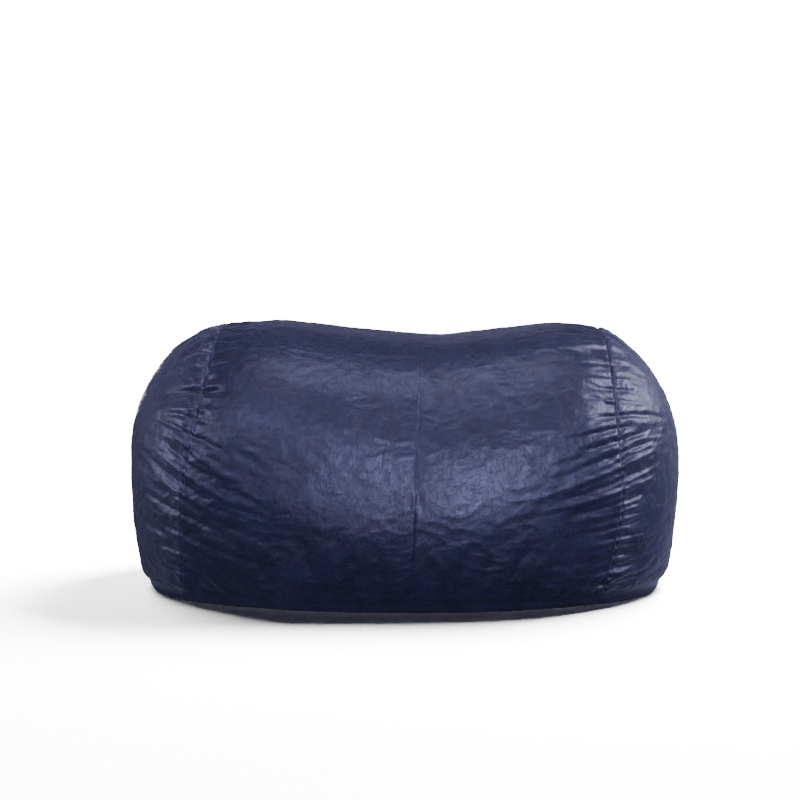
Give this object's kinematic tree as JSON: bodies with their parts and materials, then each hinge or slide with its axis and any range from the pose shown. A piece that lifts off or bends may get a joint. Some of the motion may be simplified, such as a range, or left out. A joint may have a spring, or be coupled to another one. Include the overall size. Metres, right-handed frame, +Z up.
{
  "type": "bean bag chair",
  "caption": "Large foam-filled bean bag lounger: plush panelled cover with a back zip, inner liner bag with its own zip, and loose foam filling.",
  "frame": {"origin": "on the floor, under the middle of the bag", "axes": "+X to the bag's left-to-right as seen from the front, -Y out of the front, +Z up"},
  "size_m": [1.83, 1.1247, 0.8858],
  "materials": {
    "cover_plush": "short-pile polyester plush with a soft sheen",
    "liner_taffeta": "plain woven taffeta",
    "foam": "shredded open-cell foam",
    "zip_tape": "herringbone woven polyester tape",
    "zip_coil": "polyester monofilament coil",
    "zip_metal": "die-cast, gunmetal plated",
    "label_satin": "woven satin ribbon, blank"
  },
  "bodies": {
    "bag": {"left_end_panel": "cover_plush", "right_end_panel": "cover_plush", "left_wrap_panel": "cover_plush", "right_wrap_panel": "cover_plush", "back_lower_panel": "cover_plush", "base_panel": "cover_plush", "liner_left_half": "liner_taffeta", "liner_right_half": "liner_taffeta", "foam_filling": "foam", "cover_zip_upper_tape": "zip_tape", "cover_zip_lower_tape": "zip_tape", "liner_zip_upper_tape": "zip_tape", "liner_zip_lower_tape": "zip_tape", "cover_zip_upper_coil": "zip_coil", "cover_zip_lower_coil": "zip_coil", "liner_zip_upper_coil": "zip_coil", "liner_zip_lower_coil": "zip_coil", "cover_zip_upper_top_stop": "zip_metal", "cover_zip_lower_top_stop": "zip_metal", "cover_zip_bottom_stop": "zip_metal", "liner_zip_upper_top_stop": "zip_metal", "liner_zip_lower_top_stop": "zip_metal", "liner_zip_bottom_stop": "zip_metal", "care_label": "label_satin"},
    "cover_slider": {"cover_zip_slider": "zip_metal"},
    "cover_pull": {"cover_zip_pull": "zip_metal"},
    "liner_slider": {"liner_zip_slider": "zip_metal"}
  },
  "joints": [
    {"name": "cover_zip_slide", "type": "slide", "parent": "bag", "child": "cover_slider", "axis": [-1, 0, 0], "range_m": [0, 0.67], "deforming": ["cover_zip_upper_coil", "cover_zip_lower_coil"]},
    {"name": "cover_zip_pull_hinge", "type": "hinge", "parent": "cover_slider", "child": "cover_pull", "pos_m": [0.34, 0.56086, 0.33], "axis": [0, 0, -1], "range_deg": [0, 180]},
    {"name": "liner_zip_slide", "type": "slide", "parent": "bag", "child": "liner_slider", "axis": [-1, 0, 0], "range_m": [0, 0.67], "deforming": ["liner_zip_upper_coil", "liner_zip_lower_coil"]}
  ]
}
